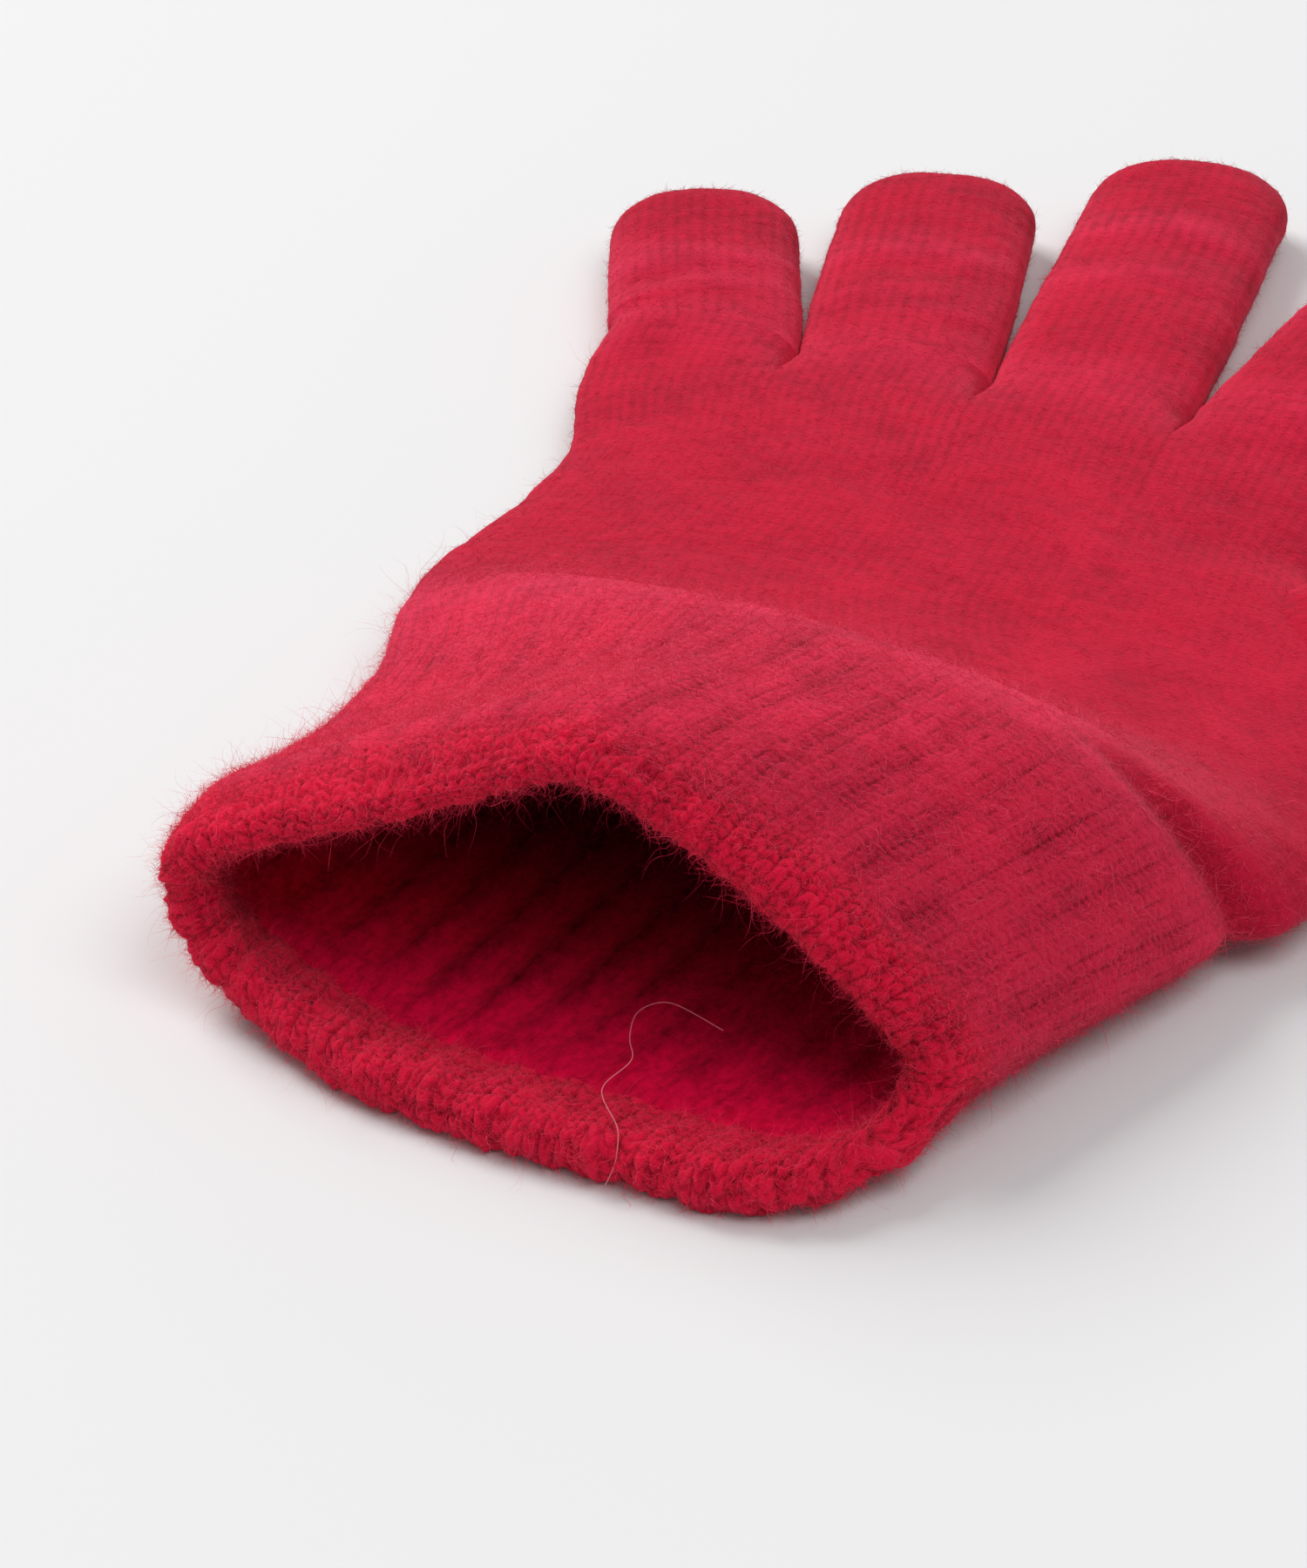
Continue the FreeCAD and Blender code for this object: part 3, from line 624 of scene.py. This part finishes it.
def digit_skin(base, turned, length, width, first_ring, creases, seed):
    """Rings of a digit from its root ring to its tip."""
    own = np.random.default_rng(seed)
    count = first_ring.shape[0] // 2
    s = digit_rows(length, width)
    a = math.radians(turned)
    along = np.array([math.sin(a), math.cos(a), 0.0])
    ring_x = first_ring[:, 0] - base[0]
    half = ring_x.max()
    share = ring_x / half
    ring_z = first_ring[None, :, 2]
    w, tall = digit_profile(s, length, width, half)
    turn = a * smooth(s / 9.0)
    across = np.stack([np.cos(turn), -np.sin(turn), 0 * turn], 1)
    centre = base[None, :] + s[:, None] * along[None, :]
    rings = centre[:, None, :] + (w[:, None] * share[None, :])[..., None] * across[:, None, :]
    height = np.ones((len(s), 2 * count))
    waver = 2.5 * lattice(own, len(s), 2 * count, 60, 20)
    painted_highlight = np.zeros((len(s), 2 * count))
    for spot, deep in creases:
        ridge = np.exp(-(((s[:, None] - spot - 5.5 + waver) / 4.0) ** 2))
        dip = np.exp(-(((s[:, None] - spot + waver) / 3.4) ** 2))
        height = height - deep * 0.14 * dip + deep * 0.12 * ridge
        painted_highlight = painted_highlight + 1.1 * deep * ridge
    above = ring_z >= MIDDLE_Z
    rise = (ring_z - MIDDLE_Z) * tall[:, None] * np.where(above, height, 1.0)
    rings[..., 2] = MIDDLE_Z + rise
    n = normals(rings)
    if n[len(s) // 2, count // 2, 2] < 0:
        n = -n
    n = unit(ring_blur(n, 3))
    top = np.arange(count + 1) * (WALES / 4) / count
    wale = np.concatenate([top, top[::-1][1:-1]])[None, :]
    stitch = felted(own, wale, ((KNUCKLE + s) / COURSE)[:, None], point_rows, point_cols, wander=0.22)
    root = smooth(s / 5)[:, None]
    edge = np.minimum(np.arange(2 * count), 2 * count - np.arange(2 * count)).astype(float)
    edge = np.minimum(edge, np.abs(np.arange(2 * count) - count))
    factor = root + (1 - root) * smooth(edge / (1.6 * FINE))[None, :]
    loose = lattice(own, len(s), 2 * count, 26, 22) + 0.5 * lattice(own, len(s), 2 * count, 9, 9)
    stitch = soften(stitch, 2)
    groove_shade_lines = groove_shade(own, wale + 0 * stitch)
    lift = 0.22 * (stitch - 0.5) * factor + 0.14 * loose * smooth(s / 8)[:, None] * tall[:, None]
    skin = rings + n * lift[..., None]
    skin[..., 2] = np.maximum(skin[..., 2], 0.02)
    # the last ring is drawn together, which leaves a hole of about 0.05 mm
    tip_centre = skin[-1].mean(axis=0)
    skin[-1] = tip_centre + 0.03 * (skin[-1] - tip_centre)
    beside_fold = smooth((np.abs(share) - 0.66) / 0.34)[None, :]
    before_tip = 1 - smooth((s - length + 20) / 8)[:, None]
    # painted highlight on the crease ridges, beside the side folds and at the root
    painted_highlight = np.clip(0.02 + painted_highlight * (1 - 0.5 * beside_fold) + 0.34 * beside_fold * before_tip, 0, 1)
    painted_highlight = painted_highlight * (0.8 + 0.2 * loose) + 0.24 * (1 - smooth(s / 9))[:, None]
    # painted shade in the stitch pits and the grooves, a little darker towards the tip; loose adds uneven
    # tone
    digit_shade_and_tone = 0.12 + 0.76 * stitch - 0.17 * groove_shade_lines + 0.05 * loose + 0.05 * (before_tip - 1)
    return s, skin, n, np.clip(digit_shade_and_tone, 0, 1), np.clip(painted_highlight, 0, 1)


surfaces = []
for name, (slot_number, turned, length, width, creases) in DIGITS.items():
    top = np.arange(slot_number * quarter, (slot_number + 1) * quarter + 1)
    low = (2 * SIDE - top) % (2 * SIDE)
    columns = np.concatenate([top, low[::-1][1:-1]])
    base = np.array([(WEBS[slot_number] + WEBS[slot_number + 1]) / 2, KNUCKLE, 0.0])
    ring, seed = outer[-1][columns], 20 + slot_number
    s, grid, n, digit_shade_and_tone, painted_highlight = digit_skin(base, turned, length, width, ring, creases, seed)
    grid[0] = palm_grid[-1][columns]
    thing = sheet_mesh(name + "_knit", grid, True, digit_shade_and_tone, painted_highlight)
    dress(thing, WOOL)
    surfaces.append((name, thing, grid, n, base, turned))

# the thumb starts inside the side of the palm and swells out of it
THUMB_BACK = 26.0
t = np.cos(np.linspace(np.pi, 0, 121))
bulge = (1 - np.abs(t) ** 2.7) ** (1 / 2.1)
top_x, top_z = arc_even(THUMB_HALF * t, MIDDLE_Z + 4.9 * bulge, quarter)
low_x, low_z = arc_even(THUMB_HALF * t, MIDDLE_Z - 4.9 * np.minimum(1.1 * bulge, 1), quarter)
ring_x = np.r_[top_x, low_x[::-1][1:-1]]
a = math.radians(THUMB_TURN)
base = np.array([THUMB_X - THUMB_BACK * math.sin(a), THUMB_Y - THUMB_BACK * math.cos(a), 0.0])
ring = base + np.stack([ring_x, 0 * ring_x, np.r_[top_z, low_z[::-1][1:-1]]], 1)
thumb_creases = ((THUMB_BACK + 24.0, 0.5),)
whole = THUMB_LENGTH + THUMB_BACK
s, grid, n, digit_shade_and_tone, painted_highlight = digit_skin(base, THUMB_TURN, whole, THUMB_HALF, ring, thumb_creases, 31)
sunk = 1 - smooth((s - 2.0) / (THUMB_BACK - 2.0))
grid[..., 2] = MIDDLE_Z + (grid[..., 2] - MIDDLE_Z) * (1 - 0.42 * sunk)[:, None]
thumb = sheet_mesh("thumb_knit", grid, True, digit_shade_and_tone, painted_highlight)
dress(thumb, WOOL)
surfaces.append(("thumb", thumb, grid, n, np.array([THUMB_X, THUMB_Y, 0.0]), THUMB_TURN))


# ------------------------------------------------------------------ nap
def nap(name, grid, normal, amount, length, seed, width=0.05, stand=0.6, curl=0.5, pieces=4, share=None):
    """Fine fibres that stand off a knitted face, as narrow curved ribbons."""
    own = np.random.default_rng(seed)
    rows, cols = grid.shape[:2]
    tries = amount * 2
    i = own.integers(1, rows - 1, tries)
    j = own.integers(0, cols, tries)
    off_table = np.where(grid[i, j, 2] < 1.2, 0.10, 1.0)
    wanted = off_table if share is None else off_table * share[i]
    keep = own.random(tries) < wanted
    i, j = i[keep][:amount], j[keep][:amount]
    count = len(i)
    p, n = grid[i, j], normal[i, j]
    jitter = own.uniform(-0.5, 0.5, (count, 2))
    right = grid[i, (j + 1) % cols] - p
    ahead = grid[i + 1, j] - p
    p = p + right * jitter[:, :1] + ahead * jitter[:, 1:]
    lay = 3 * np.pi * lattice(own, rows, cols, 20, 20)[i, j] + own.normal(0, 1.3, count)
    side = unit(right) * np.cos(lay)[:, None] + unit(ahead) * np.sin(lay)[:, None]
    long = length[0] + (length[1] - length[0]) * own.random(count) ** 2.2
    rise = own.uniform(0.10, 1.0, count)[:, None] * stand
    direction = unit(n * rise + side * (1 - 0.6 * rise))
    bow = unit(own.normal(size=(count, 3))) - n * 0.35
    twist = unit(own.normal(size=(count, 3)))
    steps = np.linspace(0, 1, pieces)
    line = p[:, None, :] - n[:, None, :] * 0.12
    line = line + direction[:, None, :] * (long[:, None] * steps)[..., None]
    line = line + bow[:, None, :] * (curl * long[:, None] * steps**2)[..., None]
    line = line + twist[:, None, :] * (0.16 * curl * long[:, None] * np.sin(2 * np.pi * steps))[..., None]
    line[..., 2] = np.maximum(line[..., 2], 0.03)
    thin = width * own.uniform(0.6, 1.2, count)
    across = unit(np.cross(direction, unit(own.normal(size=(count, 3)))))
    taper = 1 - 0.85 * steps**2
    offset = across[:, None, :] * (thin[:, None] * taper / 2)[..., None]
    points = np.stack([line - offset, line + offset], 2).reshape(-1, 3)
    first = np.arange(count)[:, None] * 2 * pieces + 2 * np.arange(pieces - 1)[None, :]
    quads = np.stack([first, first + 1, first + 3, first + 2], -1).reshape(-1, 4)
    shade = np.repeat(own.uniform(0.0, 1.0, count), 2 * pieces)
    return solid_mesh(name, place(points), quads, stitch=shade)


naps = []
rim_start = n_welt - int(3.6 / (row_step * 0.88))
past_wrist = n_cuff + int(14 / row_step)
cuff_surface, cuff_normal = skin[rim_start:past_wrist], outward[rim_start:past_wrist]
thinning_out = 1 - smooth((all_rows[rim_start:past_wrist] - RIB_END + 4) / 26)
cuff_nap = nap("cuff_nap", cuff_surface, cuff_normal, 64000, (0.7, 2.6), 41, share=thinning_out)
cuff_down = nap("cuff_down", cuff_surface, cuff_normal, 64000, (0.6, 2.0), 44, stand=0.35, share=thinning_out)
cuff_hairs = nap(
    "cuff_hairs", cuff_surface, cuff_normal, 20000, (1.2, 4.5), 45, width=0.035, curl=1.1, pieces=8
)
for thing in (cuff_nap, cuff_down, cuff_hairs):
    dress(thing, CUFF_NAP)
welt_nap = nap("welt_nap", welt_skin, welt_out, 60000, (0.5, 2.0), 42, width=0.055, stand=0.45, curl=1.0)
welt_hairs = nap("welt_hairs", welt_skin, welt_out, 14000, (1.0, 4.0), 46, width=0.035, curl=1.1, pieces=8)
for thing in (welt_nap, welt_hairs):
    dress(thing, WELT_NAP)
near_mouth = 1 - smooth((inside_q - RIM - 14) / 26)
inside_nap = nap("inside_nap", inside_grid, -inside_normal, 26000, (0.4, 1.5), 48, curl=0.9, share=near_mouth)
dress(inside_nap, INSIDE_NAP)
palm_normal = outward[n_cuff - 1 :]
palm_nap = nap("palm_nap", palm_grid, palm_normal, 64000, (0.5, 1.8), 43, stand=0.45, width=0.045)
palm_hairs = nap("palm_hairs", palm_grid, palm_normal, 7000, (1.2, 4.0), 47, width=0.03, curl=0.9, pieces=8)
for thing in (palm_nap, palm_hairs):
    dress(thing, NAP)
for number, (name, thing, grid, n, base, turned) in enumerate(surfaces):
    fuzz = nap(name + "_nap", grid, n, 14000, (0.5, 1.8), 50 + number, stand=0.45)
    dress(fuzz, NAP)
    naps.append(fuzz)

# one loose pale hair lies over the lower lip and curls into the mouth
STRAY = [
    (22.0, -73.8, 0.8), (22.8, -72.8, 3.5), (22.6, -71.5, 5.8), (19.0, -67.0, 7.0), (20.2, -61.5, 6.8),
    (18.4, -57.4, 6.4), (17.3, -52.5, 6.2), (19.7, -49.2, 6.0), (25.9, -51.4, 5.4),
]
STRAY_WIDTH = 0.11
knots = np.array(STRAY)
stray_line = glide(np.arange(len(knots)), knots, np.linspace(0, len(knots) - 1, 120))
for _ in range(20):
    stray_line[1:-1] = (stray_line[:-2] + 2 * stray_line[1:-1] + stray_line[2:]) / 4
heading = unit(np.gradient(stray_line, axis=0))
beside = unit(np.cross(heading, [0.0, 0.0, 1.0]))
above = np.cross(beside, heading)
around = np.arange(6) * math.tau / 6
tube = [stray_line + (beside * math.cos(turn) + above * math.sin(turn)) * STRAY_WIDTH / 2 for turn in around]
tube = np.stack(tube, 1)
stray = sheet_mesh("stray_hair", tube, True, np.ones(tube.shape[:2]))
dress(stray, wool("pale_hair", (0.80, 0.22, 0.26), (0.60, 0.10, 0.13)))

# ------------------------------------------------------------------ riding
cuff_fibres = (cuff_nap, cuff_down, cuff_hairs, welt_nap, welt_hairs, inside_nap)
for thing in (rib_out, welt, inside, *cuff_fibres, stray):
    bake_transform(thing)
for thing in (palm_top, palm_low, palm_nap, palm_hairs):
    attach(thing, "hand")
for (name, thing, grid, n, base, turned), fuzz in zip(surfaces, naps):
    for piece in (thing, fuzz):
        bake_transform(piece)
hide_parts("cuff_welt")
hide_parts("cuff_rib", "wrist_band")
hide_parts("palm_lower", "palm_upper")
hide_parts("web_little_ring", "web_ring_middle", "web_middle_index", "web_thumb")
for name, thing, *_ in surfaces:
    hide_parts(name + "_root", name + "_tube", name + "_tip")

# ------------------------------------------------------------------ table, light and camera
floor_mesh = bpy.data.meshes.new("floor")
FLOOR = 3.0
floor_corners = [(-FLOOR, -FLOOR, 0), (FLOOR, -FLOOR, 0), (FLOOR, FLOOR, 0), (-FLOOR, FLOOR, 0)]
floor_mesh.from_pydata(floor_corners, [], [(0, 1, 2, 3)])
floor = bpy.data.objects.new("floor", floor_mesh)
bpy.context.scene.collection.objects.link(floor)
floor.location.z = -0.0001
paper = bpy.data.materials.new("white_table")
paper.use_nodes = True
paper.node_tree.nodes["Principled BSDF"].inputs["Base Color"].default_value = (0.755, 0.755, 0.755, 1)
paper.node_tree.nodes["Principled BSDF"].inputs["Roughness"].default_value = 0.75
floor.data.materials.append(paper)
floor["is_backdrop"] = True

world = bpy.data.worlds.new("room")
world.use_nodes = True
world.node_tree.nodes["Background"].inputs["Color"].default_value = (0.985, 0.985, 1.0, 1)
world.node_tree.nodes["Background"].inputs["Strength"].default_value = 0.36
bpy.context.scene.world = world


TURN = math.radians(20)


def from_view(x, y, z):
    """A point given across and along the line of sight, in the frame's directions."""
    p = np.array([x * math.cos(TURN) - y * math.sin(TURN), x * math.sin(TURN) + y * math.cos(TURN), z])
    return Vector(place(p))


def lamp(name, at, towards, size, power, colour=(1, 1, 1)):
    data = bpy.data.lights.new(name, "AREA")
    data.shape = "RECTANGLE"
    data.size, data.size_y = size
    data.energy = power
    data.color = colour
    thing = bpy.data.objects.new(name, data)
    bpy.context.scene.collection.objects.link(thing)
    thing.location = at
    thing.rotation_euler = (towards - at).to_track_quat("-Z", "Y").to_euler()
    return thing


target = from_view(20, 20, 0)
lamp("window", from_view(-1500, 1500, 1900), target, (1.5, 1.5), 66.0, (1.0, 0.99, 0.98))
lamp("fill", from_view(600, -700, 1800), target, (1.4, 1.4), 16.0, (0.97, 0.98, 1.0))

camera_data = bpy.data.cameras.new("camera")
camera = bpy.data.objects.new("camera", camera_data)
bpy.context.scene.collection.objects.link(camera)
bpy.context.scene.camera = camera
camera_data.sensor_fit = "VERTICAL"
camera_data.sensor_height = 36.0
camera_data.lens = 5300.0 / 1800.0 * 36.0
camera_data.clip_start = 0.01
DISTANCE = 500.0
LIFT = math.radians(30)
camera.location = from_view(0, -DISTANCE * math.cos(LIFT), DISTANCE * math.sin(LIFT))
camera.rotation_euler = (from_view(0, 0, 0) - camera.location).to_track_quat("-Z", "Y").to_euler()

view = bpy.context.scene.view_settings
view.view_transform = "Standard"

low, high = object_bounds()
